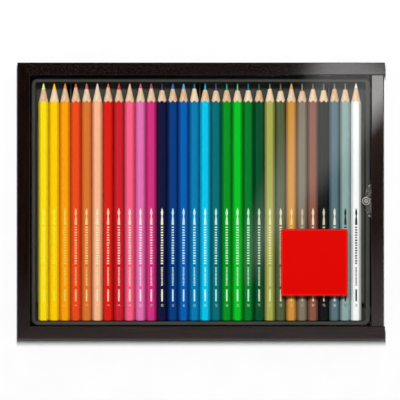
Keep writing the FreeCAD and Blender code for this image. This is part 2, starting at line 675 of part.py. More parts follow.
def make_screw(label, shank, head, head_height, length, drive):
    """A turned screw along its own +Z: its head stands on z = 0, its shank is below, its slot on top."""
    body = new_body(label)
    section = sketch_on(body, label + "_section", "XZ_Plane")
    end = negative(length)
    outline = [("0", end), (shank, end), (shank, "0"), (head, "0"), (head, head_height), ("0", head_height)]
    draw_outline(section, outline)
    turned = body.newObject("PartDesign::Revolution", label + "_turned")
    turned.Profile = section
    turned.ReferenceAxis = (section, ["V_Axis"])
    doc.recompute()
    slot = sketch_on(body, label + "_drive_outline", "XY_Plane", f"({head_height} / 2)")
    past = add(head, "cut_overrun")
    draw_rectangle(slot, negative(half(drive)), half(drive), negative(past), past)
    pocket(body, label + "_drive", slot, head_height)
    return body


def make_front_screws():
    """Two screws, driven along +X from the wells into the drawer front, their heads let into the wall."""
    seat = add(INNER_RIGHT, "screw_head_height")
    length = add(less(FRONT_BACK, seat), "screw_grip")
    shank, head, head_height, drive = (
        cell(name) for name in ("screw_shank", "screw_head", "screw_head_height", "drive_width")
    )
    screw = make_screw("front_screw", shank, head, head_height, length, drive)
    # The shank points along +X, so the head's own +Z points along -X
    rotation = FreeCAD.Rotation(Vector(0, 1, 0), -90)
    place(screw, seat, add(INNER_FRONT, SCREW_INSET), SCREW_AXIS, rotation)
    twin = doc.addObject("Part::Mirroring", "front_screw_twin")
    twin.Source = screw
    twin.Normal = Vector(0, 1, 0)
    twin.setExpression("Base.y", TRAY_MIDDLE)
    pair = doc.addObject("Part::Compound", "front_screws")
    pair.Label = "front_screws"
    pair.Links = [screw, twin]
    return pair


def make_tie_screw():
    """The screw in the plate's cup, down into the tray's post."""
    length = add("plate_thickness", "tie_grip")
    shank, head, head_height = (cell(name) for name in ("tie_shank", "tie_head", "tie_head_height"))
    screw = make_screw("tie_screw", shank, head, head_height, length, half("drive_width"))
    place(screw, less(RIM_RIGHT, "boss_radius"), TIE_MIDDLE, PLATE_TOP)
    return screw


def make_tie_pins():
    """Two small drive pins through the ends of the tie plate into the tray's rim."""
    pins = []
    for side in (-1, 1):
        shank = doc.addObject("Part::Cylinder", f"pin_shank_{side + 2}")
        length = add("pin_grip", "plate_thickness")
        bind(shank, Radius=cell("pin_shank"), Height=length)
        place(shank, up=negative(length))
        head = doc.addObject("Part::Cylinder", f"pin_head_{side + 2}")
        bind(head, Radius=cell("pin_head"), Height=cell("pin_head_height"))
        pin = doc.addObject("Part::Fuse", f"pin_{side + 2}")
        pin.Base = head
        pin.Tool = shank
        along = add(TIE_MIDDLE, f"({side} * {less('plate_half_length', 'pin_from_end')})")
        place(pin, less(FRONT_BACK, "pin_reach"), along, PLATE_TOP)
        pins.append(pin)
    both = doc.addObject("Part::Compound", "tie_pins")
    both.Label = "tie_pins"
    both.Links = pins
    return both


def draw_regular(sketch, radius, sides):
    """A regular outline round the sketch's origin, its first corner on the sketch's X axis."""
    turns = [f"{360 * i / sides} deg" for i in range(sides)]
    draw_outline(sketch, [(f"({radius} * cos({turn}))", f"({radius} * sin({turn}))") for turn in turns])


def sharpen(body, label, sides):
    """Cuts the point as so many flats round the axis, each leaning in from the shoulder to the blunt tip."""
    shoulder = less("pencil_length", "point_length")
    far = add(CORNER_RADIUS, "cut_overrun")
    past = add("pencil_length", "cut_overrun")
    tip = cell("point_radius")
    end = cell("pencil_length")
    waste = sketch_on(body, label + "_waste", "XZ_Plane")
    draw_outline(waste, [(CORNER_RADIUS, shoulder), (far, shoulder), (far, past), (tip, past), (tip, end)])
    flat = pocket(body, label + "_flat", waste, times(2, far), both_sides=True)
    pattern = body.newObject("PartDesign::PolarPattern", label + "_flats")
    pattern.Originals = [flat]
    pattern.Axis = (plane_of(body, "Z_Axis"), [""])
    pattern.Angle = 360
    pattern.Occurrences = sides
    body.Tip = pattern
    doc.recompute()


def make_casing():
    """A pencil's wood and lacquer, along +Z from the butt: six-sided, bevelled at the butt and bored for the
    lead. The sharpened point meets the six flats in a scalloped edge."""
    body = new_body("casing")
    outline = sketch_on(body, "casing_outline", "XY_Plane")
    draw_regular(outline, CORNER_RADIUS, HEX_SIDES)
    stick = pad(body, "casing_stick", outline, cell("pencil_length"))
    chamfer(body, "butt_bevel", stick, edges_where(stick, lambda e: lies_at(e, 0)), cell("butt_ease"))
    sharpen(body, "casing", POINT_SIDES)
    bore = sketch_on(body, "bore_outline", "XY_Plane", cell("butt_cap"))
    draw_regular(bore, add("core_radius", "glue_line"), LEAD_SIDES)
    pocket(body, "lead_bore", bore, cell("pencil_length"))
    return body


def make_lead():
    """A pencil's coloured lead, glued in the casing and sharpened with it."""
    body = new_body("lead")
    outline = sketch_on(body, "lead_outline", "XY_Plane", cell("butt_cap"))
    draw_regular(outline, cell("core_radius"), LEAD_SIDES)
    pad(body, "lead_rod", outline, less("pencil_length", "butt_cap"))
    sharpen(body, "lead", LEAD_SIDES)
    return body


def lay_pencil(number, pieces):
    """One pencil in its groove, a flat upwards and the point to +Y."""
    label = f"pencil_{number:02d}"
    pencil = doc.addObject("Part::Compound", label)
    pencil.Label = label
    pencil.Links = pieces
    across = add(INNER_LEFT, LEFT_MARGIN, times(number - 1, PITCH))
    place(pencil, across, add(INNER_FRONT, "butt_gap"), PENCIL_AXIS, FreeCAD.Rotation(Vector(1, 0, 0), -90))
    return pencil


def make_all():
    pieces = make_case()
    pieces.append(make_sheet("base_panel", cell("base_recess"), "base_thickness", "base_end_gap"))
    pieces.append(make_sheet("window_pane", PANE_BOTTOM, "pane_thickness", "panel_play"))
    pieces.append(make_label())
    pieces.append(make_splines())
    pieces.append(make_drawer_front())
    pieces.append(make_tray())
    pieces.append(make_bed())
    pieces.append(make_tie_plate())
    pieces.append(make_tie_screw())
    pieces.append(make_tie_pins())
    pieces.append(make_front_screws())
    pencil_pieces = [make_casing(), make_lead()]
    pieces.extend(lay_pencil(number, pencil_pieces) for number in range(1, PENCILS + 1))
    return pieces


def check_and_write(pieces):
    """Stops if any object failed, then writes one file a piece."""
    doc.recompute()
    for thing in doc.Objects:
        if "Invalid" in thing.State or "Error" in thing.State:
            raise RuntimeError(f"{thing.Label} failed: {thing.State}")
    for piece in pieces:
        if piece.Shape.isNull() or not piece.Shape.isValid() or not piece.Shape.Solids:
            raise RuntimeError(f"{piece.Label} has no valid solid")
    os.makedirs("parts", exist_ok=True)
    for piece in pieces:
        piece.Shape.exportStep(os.path.join("parts", piece.Label + ".step"))
        box = piece.Shape.BoundBox
        print(
            f"{piece.Label:16} {len(piece.Shape.Solids)} solid(s)  x {box.XMin:8.2f} {box.XMax:8.2f}"
            f"  y {box.YMin:8.2f} {box.YMax:8.2f}  z {box.ZMin:6.2f} {box.ZMax:6.2f}"
        )


check_and_write(make_all())
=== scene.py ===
import math
import random

import bmesh
import bpy
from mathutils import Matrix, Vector, noise


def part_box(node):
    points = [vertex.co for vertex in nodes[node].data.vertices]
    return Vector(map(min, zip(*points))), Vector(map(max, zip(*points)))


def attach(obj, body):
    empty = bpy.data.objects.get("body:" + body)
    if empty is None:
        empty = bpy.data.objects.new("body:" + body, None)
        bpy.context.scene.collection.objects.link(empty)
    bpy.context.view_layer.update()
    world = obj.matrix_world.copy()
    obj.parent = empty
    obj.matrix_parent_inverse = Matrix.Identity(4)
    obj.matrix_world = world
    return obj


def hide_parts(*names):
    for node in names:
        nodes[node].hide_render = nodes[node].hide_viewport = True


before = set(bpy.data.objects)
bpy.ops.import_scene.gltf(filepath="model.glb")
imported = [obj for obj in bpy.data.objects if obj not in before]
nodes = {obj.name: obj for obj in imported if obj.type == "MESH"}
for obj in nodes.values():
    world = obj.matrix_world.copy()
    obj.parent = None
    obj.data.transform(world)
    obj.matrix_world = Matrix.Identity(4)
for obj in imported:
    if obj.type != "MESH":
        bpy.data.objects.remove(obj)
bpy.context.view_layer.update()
MM = 0.001


# The case's three rails are a straight-grained hardwood, stained nearly black and rubbed down with a satin
# varnish. They are mitred and splined at the two left-hand corners, and grooved for the base panel and pane.


def new_material(name):
    """A new node material, its node tree and its Principled shader."""
    material = bpy.data.materials.new(name)
    material.use_nodes = True
    tree = material.node_tree
    return material, tree, tree.nodes["Principled BSDF"]


def set_inputs(node, **values):
    """Gives plain values to a node's inputs, by their names with _ for a space."""
    for name, value in values.items():
        node.inputs[name.replace("_", " ")].default_value = value


def add_node(tree, kind, **settings):
    """A node with its inputs set by their names, and its own properties by theirs, which begin small."""
    node = tree.nodes.new(kind)
    for name, value in settings.items():
        if name[0].isupper():
            set_inputs(node, **{name: value})
        else:
            setattr(node, name, value)
    return node


def feed(tree, value, socket):
    """Links an output to a socket, or gives the socket a plain value."""
    if isinstance(value, bpy.types.NodeSocket):
        tree.links.new(value, socket)
    else:
        socket.default_value = value


def place_on(tree, scale=None):
    """Where a point is on its object, with the three axes stretched by a scale."""
    place = add_node(tree, "ShaderNodeTexCoord").outputs["Object"]
    if scale is None:
        return place
    stretch = add_node(tree, "ShaderNodeMapping", Scale=scale)
    tree.links.new(place, stretch.inputs["Vector"])
    return stretch.outputs["Vector"]


def add_noise(tree, place, **settings):
    """A noise texture's value at a place."""
    texture = add_node(tree, "ShaderNodeTexNoise", **settings)
    tree.links.new(place, texture.inputs["Vector"])
    return texture.outputs["Fac"]


def add_range(tree, value, **limits):
    """A value moved from one range to another. A limit that isn't given is 0 or 1."""
    moved = add_node(tree, "ShaderNodeMapRange", **limits)
    tree.links.new(value, moved.inputs["Value"])
    return moved.outputs["Result"]


def add_math(tree, operation, *values):
    """The result of one operation on outputs and plain numbers."""
    node = add_node(tree, "ShaderNodeMath", operation=operation)
    for value, socket in zip(values, node.inputs):
        feed(tree, value, socket)
    return node.outputs["Value"]


def mix_colours(tree, factor, first, second, blend_type="MIX"):
    """A colour on the way from one to another, each of them an output or a plain colour."""
    node = add_node(tree, "ShaderNodeMix", data_type="RGBA", blend_type=blend_type)
    for name, value in (("Factor", factor), ("A", first), ("B", second)):
        feed(tree, value, node.inputs[name])
    return node.outputs["Result"]


def add_relief(tree, shader, height, strength, distance, edge_radius=0.0):
    """Small bumps in the shader's surface, over edges that look rounded where a radius is given."""
    relief = add_node(tree, "ShaderNodeBump", Strength=strength, Distance=distance)
    tree.links.new(height, relief.inputs["Height"])
    if edge_radius:
        soft_edge = add_node(tree, "ShaderNodeBevel", Radius=edge_radius)
        tree.links.new(soft_edge.outputs["Normal"], relief.inputs["Normal"])
    tree.links.new(relief.outputs["Normal"], shader.inputs["Normal"])


def colour(code):
    """A colour as Blender's nodes want it, from the way it is written for a screen."""
    shares = [int(code[i:i + 2], 16) / 255 for i in (1, 3, 5)]
    return [s / 12.92 if s <= 0.04045 else ((s + 0.055) / 1.055) ** 2.4 for s in shares] + [1.0]


def shaded(full, factor, lift=0.0):
    """A colour made darker or lighter by a factor, and lifted a little off black."""
    return [min(1.0, share * factor + lift) for share in full[:3]] + [1.0]


def new_group(name, inputs):
    """A shader node group that gives a colour, a roughness and a height, and its two end nodes."""
    group = bpy.data.node_groups.new(name, "ShaderNodeTree")
    for label, kind, value in inputs:
        socket = group.interface.new_socket(name=label, in_out="INPUT", socket_type="NodeSocket" + kind)
        if value is not None:
            socket.default_value = value
    for label, kind in (("Color", "Color"), ("Roughness", "Float"), ("Height", "Float")):
        group.interface.new_socket(name=label, in_out="OUTPUT", socket_type="NodeSocket" + kind)
    return group, group.nodes.new("NodeGroupInput"), group.nodes.new("NodeGroupOutput")


def give_out(group, outs, tone, roughness, height):
    """Links a group's three results to its end node."""
    for name, value in (("Color", tone), ("Roughness", roughness), ("Height", height)):
        group.links.new(value, outs.inputs[name])


def make_stained_grain():
    """Long streaks, fine open pores and short pale specks, which are painted glints off the pore edges. The
    vectors that go in are already stretched along the grain, the specks' one less so."""
    group, ins, outs = new_group(
        "stained_grain",
        [
            ("Vector", "Vector", None), ("Fleck Vector", "Vector", None),
            ("Dark", "Color", colour("#0a0605")), ("Light", "Color", colour("#2a1f1a")),
            ("Fleck", "Color", colour("#6b5c55")), ("Flecks", "Float", 0.1),
        ],
    )
    place = ins.outputs["Vector"]
    streaks = add_noise(group, place, Scale=1.0, Detail=5.0, Roughness=0.6, Distortion=0.3)
    fibres = add_noise(group, place, Scale=1.6, Detail=3.0, Roughness=0.7)
    pores = add_range(group, fibres, From_Min=0.38, From_Max=0.5)
    spread = add_range(group, streaks, From_Min=0.35, From_Max=0.7)
    tone = mix_colours(group, spread, ins.outputs["Dark"], ins.outputs["Light"])
    sunk = mix_colours(group, pores, ins.outputs["Dark"], tone)
    # Painted glints: sparse pale specks where the pores' edges would catch the light.
    dots = add_noise(group, ins.outputs["Fleck Vector"], Scale=1.0, Detail=1.0)
    sparse = add_range(group, dots, From_Min=0.52, From_Max=0.68)
    faint = add_math(group, "MULTIPLY", sparse, ins.outputs["Flecks"])
    glinted = mix_colours(group, faint, sunk, ins.outputs["Fleck"])
    dull = add_range(group, pores, To_Min=0.3, To_Max=0.2)
    height = add_math(group, "MULTIPLY_ADD", spread, 0.35, pores)
    give_out(group, outs, glinted, dull, height)
    return group


STAINED_GRAIN = make_stained_grain()
# How often the pattern repeats per metre, along the grain and across it
GRAIN_REPEATS = (32.0, 900.0)
FLECK_REPEATS = (600.0, 2000.0)
WOOD_EDGE = 0.4 * MM


def dress_shader(tree, shader, skin, strength, distance, edge_radius):
    """Gives a shader what a group puts out."""
    tree.links.new(skin.outputs["Color"], shader.inputs["Base Color"])
    tree.links.new(skin.outputs["Roughness"], shader.inputs["Roughness"])
    add_relief(tree, shader, skin.outputs["Height"], strength, distance, edge_radius)


def stained_wood(name, grain_axis, dark, light, gloss, varnish, glints=0.04, relief_depth=0.09 * MM):
    """Stained wood with its grain along one axis, under a varnish of some gloss and roughness."""
    material, tree, shader = new_material(name)
    grain = add_node(tree, "ShaderNodeGroup", node_tree=STAINED_GRAIN)
    set_inputs(grain, Dark=colour(dark), Light=colour(light), Flecks=glints)
    for label, (along, across) in (("Vector", GRAIN_REPEATS), ("Fleck Vector", FLECK_REPEATS)):
        scale = [along if axis == grain_axis else across for axis in range(3)]
        tree.links.new(place_on(tree, scale), grain.inputs[label])
    dress_shader(tree, shader, grain, 0.5, relief_depth, WOOD_EDGE)
    set_inputs(shader, Specular_IOR_Level=0.1, Coat_Weight=gloss, Coat_IOR=1.8, Coat_Roughness=varnish)
    return material


def dress(node_name, material):
    """Gives a carried-over CAD node its material."""
    mesh = nodes[node_name].data
    mesh.materials.clear()
    mesh.materials.append(material)


# The rails' stains differ only as painted light and shade: the back and left rails are painted darker than
# the front rail and the drawer front, and the back rail carries more of the pale painted glints.
dress("front_rail", stained_wood("front_rail_wood", 0, "#0d0606", "#301b15", 0.5, 0.06))
dress("back_rail", stained_wood("back_rail_wood", 0, "#080404", "#21110c", 0.45, 0.06, glints=0.16))
dress("left_rail", stained_wood("left_rail_wood", 1, "#080403", "#260f0a", 0.5, 0.06))


# Two keys of bare hardwood are glued into slots across the mitres. Nothing shows of them from outside.
# Their grain runs across the joint, where it holds.


def make_bare_wood():
    """Plain hardwood, sawn and left as it is."""
    material, tree, shader = new_material("bare_hardwood")
    fibres = add_noise(tree, place_on(tree), Scale=900.0, Detail=4.0)
    tone = add_range(tree, fibres, From_Min=0.3, From_Max=0.7)
    tree.links.new(mix_colours(tree, tone, colour("#a47c50"), colour("#c49c6c")), shader.inputs["Base Color"])
    set_inputs(shader, Roughness=0.7)
    return material


dress("mitre_splines", make_bare_wood())


# The base panel is a thin board, stained like the rails and let into their lower grooves.
# Its underside stands clear of the table, so only the rails touch it.

dress("base_panel", stained_wood("base_panel_wood", 0, "#0a0504", "#1a0f0b", 0.5, 0.2))


# The tray is one injection moulding in dark grey, with a rolled-out rim, slots in its floor between the
# pencils' points and pads behind the drawer front. Its skin has the fine even grain of a textured mould.


def make_moulded_grain():
    """A fine random pebble and a slow drift of tone, as on a moulding from a textured tool."""
    group, ins, outs = new_group(
        "moulded_grain",
        [
            ("Vector", "Vector", None), ("Low", "Color", colour("#2d2f2c")),
            ("High", "Color", colour("#3b3d39")),
        ],
    )
    pebble = add_noise(group, ins.outputs["Vector"], Scale=2600.0, Detail=2.0)
    drift = add_noise(group, ins.outputs["Vector"], Scale=60.0, Detail=2.0)
    tone = mix_colours(group, drift, ins.outputs["Low"], ins.outputs["High"])
    satin = add_range(group, pebble, To_Min=0.5, To_Max=0.62)
    give_out(group, outs, tone, satin, pebble)
    return group


MOULDED_GRAIN = make_moulded_grain()
MOULDED_EDGE = 1.2 * MM


def moulded_plastic(name, low, high):
    """The moulding's plastic, between a lower and a higher tone."""
    material, tree, shader = new_material(name)
    skin = add_node(tree, "ShaderNodeGroup", node_tree=MOULDED_GRAIN, Low=colour(low), High=colour(high))
    tree.links.new(place_on(tree), skin.inputs["Vector"])
    dress_shader(tree, shader, skin, 0.25, 0.03 * MM, MOULDED_EDGE)
    return material


dress("tray", moulded_plastic("tray_plastic", "#3d3e39", "#4a4b45"))


# The pencil bed is a second moulding that drops into the tray: a ribbed deck with a groove for each pencil
# and a ledge along each side, hollow underneath. It is the same plastic as the tray.

dress("pencil_bed", moulded_plastic("bed_plastic", "#3a3b36", "#464741"))


# The drawer front is a board of the rails' wood with its grain across the case, let between the two long
# rails and screwed to the tray from inside. Its outer face has a groove for the fingers.

front_wood = stained_wood("drawer_front_wood", 1, "#0e0707", "#301b15", 0.8, 0.03, relief_depth=0.02 * MM)
dress("drawer_front", front_wood)


# The tie plate is a small nickel-plated pressing. Its straight side sits in a slot in the drawer front, its
# two arms taper, and the round cup in the middle takes the screw. The plating is worn in patches and brushed.


def plated_metal(name, dull, bright, roughness, along_y, metallic=0.6):
    """Metal that is brushed along Y or evenly, and duller and rougher where it is worn."""
    material, tree, shader = new_material(name)
    scale = [6000.0, 400.0 if along_y else 6000.0, 6000.0]
    brush = add_noise(tree, place_on(tree, scale), Scale=1.0, Detail=3.0)
    patches = add_noise(tree, place_on(tree), Scale=650.0, Detail=2.0)
    worn = add_range(tree, patches, From_Min=0.38, From_Max=0.6)
    satin = add_range(tree, worn, To_Min=roughness + 0.12, To_Max=roughness)
    tree.links.new(satin, shader.inputs["Roughness"])
    tree.links.new(mix_colours(tree, worn, colour(dull), colour(bright)), shader.inputs["Base Color"])
    add_relief(tree, shader, brush, 0.3, 0.01 * MM)
    set_inputs(shader, Metallic=metallic)
    return material


def loft(bm, rings, finishes=None):
    """Skins a row of rings that have the same number of corners and closes both ends. Each band of faces
    takes the finish of that number, the last one for the lid."""
    made = [[bm.verts.new(place) for place in ring] for ring in rings]
    count = len(made[0])
    finishes = finishes or [0] * len(made)
    for low, high, finish in zip(made, made[1:], finishes):
        for i in range(count):
            face = bm.faces.new((low[i], low[(i + 1) % count], high[(i + 1) % count], high[i]))
            face.smooth = True
            face.material_index = finish
    bm.faces.new(made[-1]).material_index = finishes[-1]
    bm.faces.new(list(reversed(made[0])))


def turned(bm, x, y, profile, finishes=None, steps=48):
    """A turned shape round an upright axis, from (radius, height) pairs."""
    turns = [math.tau * i / steps for i in range(steps)]
    loft(bm, [[(x + r * math.cos(t), y + r * math.sin(t), z) for t in turns] for r, z in profile], finishes)


def close_mesh(bm, name):
    """The finished mesh."""
    mesh = bpy.data.meshes.new(name)
    bm.to_mesh(mesh)
    bm.free()
    return mesh


def add_object(name, mesh, materials, location=(0, 0, 0)):
    """Puts a mesh in the scene with its materials."""
    for material in materials:
        mesh.materials.append(material)
    thing = bpy.data.objects.new(name, mesh)
    thing.location = location
    bpy.context.scene.collection.objects.link(thing)
    return thing


def add_piece(name, bm, materials, body, replaced):
    """Puts a finished mesh in the scene, on its body, in place of its CAD node."""
    bmesh.ops.recalc_face_normals(bm, faces=bm.faces)
    piece = add_object(name, close_mesh(bm, name), materials)
    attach(piece, body)
    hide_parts(replaced)


plate_low, plate_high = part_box("tie_plate")
screw_low, screw_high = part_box("tie_screw")
cup_x = (screw_low.x + screw_high.x) / 2
cup_y = (plate_low.y + plate_high.y) / 2
CUP_RADIUS = cup_x - plate_low.x
CUP_BORE = 2.2 * MM
CUP_LIP = 0.7 * MM
ARM_SHOULDER = 6.5 * MM
ARM_REACH = 4.1 * MM
ARM_TIP_REACH = 1.9 * MM
ARM_TIP_CHAMFER = 0.5 * MM
ARM_BOW = 0.25 * MM
ARM_STEPS = 8
PLATE_EASE = 0.25 * MM
front_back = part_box("drawer_front")[0].x
plate_top = plate_high.z - CUP_LIP
plate_half = (plate_high.y - plate_low.y) / 2


def make_plate():
    """The flat pressing with its tapering arms, and the cup that stands up from its middle."""
    bm = bmesh.new()
    heel = front_back - ARM_TIP_REACH * 0.4
    taper_start = plate_half - ARM_TIP_CHAMFER
    outline = [(plate_high.x, -plate_half), (plate_high.x, plate_half), (heel, plate_half)]
    for i in range(ARM_STEPS + 1):
        share = i / ARM_STEPS
        bow = math.sin(share * math.pi) * ARM_BOW
        x = front_back - ARM_TIP_REACH - (ARM_REACH - ARM_TIP_REACH) * share - bow
        outline.append((x, taper_start - (taper_start - ARM_SHOULDER) * share))
    outline += [(x, -y) for x, y in reversed(outline[3:])]
    outline.append((heel, -plate_half))
    rings = []
    eased = ((0.0, plate_top - PLATE_EASE), (0.4, plate_top - 0.3 * PLATE_EASE), (1.0, plate_top))
    for inset, height in ((0.0, plate_low.z),) + eased:
        ease = inset * PLATE_EASE
        rings.append(
            [(x + (front_back - x) * ease / ARM_REACH, cup_y + y * (1 - ease / plate_half), height)
             for x, y in outline]
        )
    loft(bm, rings)
    lip = plate_high.z
    outside = [
        (CUP_RADIUS, plate_low.z), (CUP_RADIUS, lip - 0.35 * MM), (CUP_RADIUS - 0.1 * MM, lip - 0.12 * MM),
        (CUP_RADIUS - 0.3 * MM, lip),
    ]
    inside = [
        (CUP_BORE + 0.25 * MM, lip), (CUP_BORE + 0.08 * MM, lip - 0.1 * MM), (CUP_BORE, lip - 0.3 * MM),
        (CUP_BORE - 0.05 * MM, plate_top + 0.02 * MM), (CUP_BORE * 0.6, plate_top + 0.01 * MM),
    ]
    # The cup's outer wall and lip take the painted highlight, its bore and floor the painted shade.
    turned(bm, cup_x, cup_y, outside + inside, [1, 1, 1, 1, 1, 2, 2, 2, 2])
    return bm


# The second finish, lighter nickel on the cup's outer wall and lip, is a painted highlight; the third, darker
# nickel in the bore and on the floor, is painted shade.
plate_finishes = [
    plated_metal("worn_nickel", "#38312f", "#a49c9c", 0.34, True),
    plated_metal("painted_highlight_nickel", "#b5aaa6", "#e6dcd8", 0.34, True, metallic=0.25),
    plated_metal("shaded_nickel", "#453c3a", "#6a605d", 0.4, True, metallic=0.25),
]
add_piece("tie_plate_pressing", make_plate(), plate_finishes, "drawer", "tie_plate")


# A cheese-headed screw sits in the cup, and a small domed pin is driven through each end of the plate. Two
# longer screws go through the tray's wall into the drawer front. All are bright turned steel.

SCREW_SHANK = 0.9 * MM
SLOT_WIDTH = 0.5 * MM
SLOT_DEPTH = 0.3 * MM
SLOT_STEPS = 20
PIN_HEAD_HEIGHT = 0.3 * MM
PIN_SHANK = 0.35 * MM


def make_screw():
    """A shank, and a domed head whose driver slot is cut between two straight walls."""
    bm = bmesh.new()
    radius = (screw_high.x - screw_low.x) / 2
    y = (screw_low.y + screw_high.y) / 2
    top = screw_high.z
    seat = plate_top + 0.02 * MM
    floor = top - SLOT_DEPTH
    shank = [(SCREW_SHANK, screw_low.z), (SCREW_SHANK, seat)]
    turned(bm, cup_x, y, shank + [(radius, seat), (radius, floor), (radius * 0.98, floor)])
    start = math.asin(SLOT_WIDTH / 2 / radius)
    turns = [start + (math.pi - 2 * start) * i / SLOT_STEPS for i in range(SLOT_STEPS + 1)]
    for side in (-1, 1):
        rings = []
        for share, height in ((1.0, floor), (1.0, top - 0.14 * MM), (0.9, top - 0.03 * MM), (0.7, top)):
            ring = []
            for turn in turns:
                across = math.cos(turn) * radius * share
                up = max(SLOT_WIDTH / 2, math.sin(turn) * radius * share)
                ring.append((cup_x + across, y + side * up, height))
            rings.append(ring)
        loft(bm, rings)
    return bm


def make_pins():
    """Two domed heads on thin shanks."""
    bm = bmesh.new()
    low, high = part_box("tie_pins")
    radius = (high.x - low.x) / 2
    under = high.z - PIN_HEAD_HEIGHT
    profile = [
        (PIN_SHANK, low.z), (PIN_SHANK, under), (radius, under), (radius, under + 0.08 * MM),
        (radius * 0.85, high.z - 0.08 * MM), (radius * 0.5, high.z - 0.01 * MM), (radius * 0.15, high.z),
    ]
    for y in (low.y + radius, high.y - radius):
        turned(bm, (low.x + high.x) / 2, y, profile, steps=24)
    return bm


turned_steel = plated_metal("turned_steel", "#8f8683", "#d4ccc9", 0.3, False, metallic=0.3)
add_piece("tie_screw_turned", make_screw(), [turned_steel], "drawer", "tie_screw")
add_piece("tie_pins_turned", make_pins(), [turned_steel], "drawer", "tie_pins")
dress("front_screws", turned_steel)


# Thirty coloured pencils: six-sided cedar with two gloss coats over the casing, a dipped round-edged butt,
# and a machine-sharpened point, where the lacquer ends in a scalloped line and the lead shows at the tip.

PENCIL_COLOURS = [
    "#ffdd14", "#ffcc00", "#fba00a", "#ec4a1a", "#d9742f", "#fbb58c", "#dc1e14", "#cd1f2c",
    "#fb5f85", "#e271b0", "#d52f80", "#12143c", "#063c80", "#055db2", "#077aae", "#05c4e8",
    "#036d75", "#079023", "#07c227", "#057a2b", "#04502f", "#a9ab55", "#555f3f", "#d1923b",
    "#837664", "#8c5846", "#17181a", "#5a747c", "#8fa9a6", "#fdfdfc",
]
# The leads that don't look like their lacquer
LEAD_COLOURS = {
    1: "#f6ee9c", 3: "#e8923e", 4: "#d8503e", 5: "#b8705f", 6: "#f4d6cc", 7: "#e4583e", 8: "#bc3c4a",
    9: "#eeb4ac", 10: "#c8567a", 11: "#b43c86", 12: "#3c4290", 13: "#3c66b8", 14: "#4ea6e0", 17: "#2a62a4",
    18: "#32a47c", 19: "#62c890", 20: "#128098", 21: "#41756a", 22: "#7a9458", 23: "#82715a", 24: "#d8b060",
    25: "#9f8f7c", 26: "#92796a", 27: "#857b72", 28: "#868c9c", 29: "#909696",
}
# The leads that stand out of a blunt shoulder of wood as a thinner needle, with its radius in millimetres
NEEDLES = {
    12: 0.6, 15: 0.7, 16: 0.7, 17: 0.6, 18: 0.75, 19: 0.7, 20: 0.7, 21: 0.45, 22: 0.6, 23: 0.75, 25: 0.6,
    26: 0.6, 27: 0.6, 28: 0.6, 29: 0.6,
}
LACQUER = 0.05 * MM
TOP_FILLET = 1.5 * MM
SIDE_FILLET = 0.35 * MM
FLAT_STEPS = 10
CORNER_STEPS = 4
WOOD_STEPS = 5
LEAD_RADIUS = 1.3 * MM
SHOULDER_RADIUS = 1.6 * MM
SHOULDER_LENGTH = 0.35 * MM
TIP_RADIUS = 0.3 * MM
POINT_LENGTH = 15.2 * MM
# The rounded butt: millimetres from its end, and the share of the full radius there
BUTT = ((0.0, 0.80), (0.06, 0.88), (0.2, 0.94), (0.42, 0.98), (0.75, 1.0))
# How far two rings of the barrel lie inside its ends, to keep the shading of the long flats straight
BARREL_START = 2.5 * MM
BARREL_END = 0.3 * MM
# The faces' materials, in this order
LACQUERED, WOOD, LEAD = range(3)
SIXTH = math.pi / 3
TWELFTH = math.pi / 6

first_low, first_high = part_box("pencil_01")
PENCIL_LENGTH = first_high.y - first_low.y
CORNER_RADIUS = (first_high.x - first_low.x) / 2
# The corners are rounded without losing width, so the flats stand out a little. The height is brought back.
APOTHEM = (CORNER_RADIUS - SIDE_FILLET) * math.cos(TWELFTH) + SIDE_FILLET
HEIGHT_SHARE = (first_high.z - first_low.z) / 2 / APOTHEM
TAPER = (CORNER_RADIUS - TIP_RADIUS) / POINT_LENGTH


def hexagon_columns():
    """The directions round a six-sided pencil with softened corners: angle, radius, nearness to any corner,
    and how much painted shade the groove between this pencil and the next gives it."""
    corners = []
    for side in range(6):
        fillet = TOP_FILLET if side % 3 else SIDE_FILLET
        centre = (APOTHEM - fillet) / math.cos(TWELFTH)
        reach = math.atan2(fillet * math.sin(TWELFTH), centre + fillet * math.cos(TWELFTH))
        corners.append((side * SIXTH, fillet, centre, reach))
    columns = []
    for side, (corner, fillet, centre, reach) in enumerate(corners):
        next_reach = corners[(side + 1) % 6][3]
        for i in range(CORNER_STEPS + 1):
            away = reach * (2 * i / CORNER_STEPS - 1)
            radius = centre * math.cos(away) + math.sqrt(fillet ** 2 - (centre * math.sin(away)) ** 2)
            columns.append((corner + away, radius, 1 - abs(away) / reach * 0.5, 0.0 if side % 3 else 1.0))
        for i in range(1, FLAT_STEPS):
            away = reach + (SIXTH - reach - next_reach) * i / FLAT_STEPS
            share = i / FLAT_STEPS
            groove_shade = (1 - share, 0.0, share)[side % 3]
            columns.append((corner + away, APOTHEM / math.cos(TWELFTH - away), 0.0, groove_shade ** 2))
    return columns


